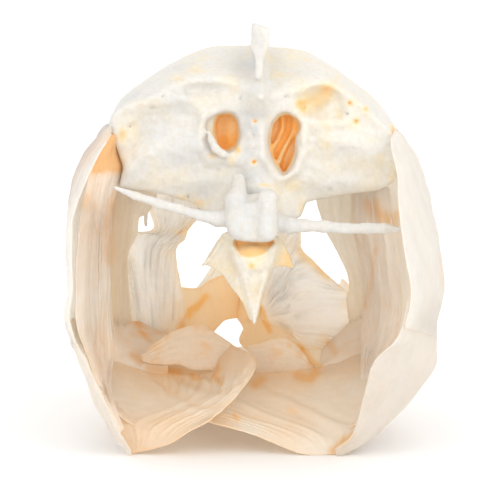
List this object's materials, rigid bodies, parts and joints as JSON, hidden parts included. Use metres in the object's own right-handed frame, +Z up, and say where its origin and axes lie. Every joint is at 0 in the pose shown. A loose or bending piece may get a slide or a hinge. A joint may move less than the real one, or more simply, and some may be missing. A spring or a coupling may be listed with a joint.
{
  "type": "carp skull",
  "caption": "Dried skull of a carp: braincase with crest, first vertebrae, gill covers, jaws, palate and hyoid bones, resting on its lower edges.",
  "frame": {"origin": "middle of the bounding box on the floor", "axes": "+Y toward the nose, +X to the skull's own right side as seen from behind, +Z up"},
  "size_m": [0.0952, 0.1444, 0.1114],
  "materials": {
    "skull_bone": "matt dry bone",
    "cover_bone": "matt dry bone",
    "palate_bone": "matt dry bone",
    "hyoid_bone": "matt dry bone"
  },
  "bodies": {
    "root": {"anguloarticular_left": "palate_bone", "anguloarticular_right": "palate_bone", "basihyal": "hyoid_bone", "dentary_left": "palate_bone", "dentary_right": "palate_bone", "first_vertebrae": "skull_bone", "gill_rays_left": "hyoid_bone", "gill_rays_right": "hyoid_bone", "hyoid_bar_left": "hyoid_bone", "hyoid_bar_right": "hyoid_bone", "hyomandibula_left": "palate_bone", "hyomandibula_right": "palate_bone", "interopercle_left": "cover_bone", "interopercle_right": "cover_bone", "kinethmoid": "palate_bone", "maxilla_left": "palate_bone", "maxilla_right": "palate_bone", "mouth_roof_left": "palate_bone", "mouth_roof_right": "palate_bone", "neurocranium": "skull_bone", "opercle_left": "cover_bone", "opercle_right": "cover_bone", "palatine_left": "palate_bone", "palatine_right": "palate_bone", "pharyngeal_process": "skull_bone", "premaxilla_left": "palate_bone", "premaxilla_right": "palate_bone", "preopercle_left": "cover_bone", "preopercle_right": "cover_bone", "pterygoid_fan_left": "palate_bone", "pterygoid_fan_right": "palate_bone", "quadrate_left": "palate_bone", "quadrate_right": "palate_bone", "subopercle_left": "cover_bone", "subopercle_right": "cover_bone", "suborbitals_left": "cover_bone", "suborbitals_right": "cover_bone", "urohyal": "hyoid_bone"}
  },
  "joints": []
}
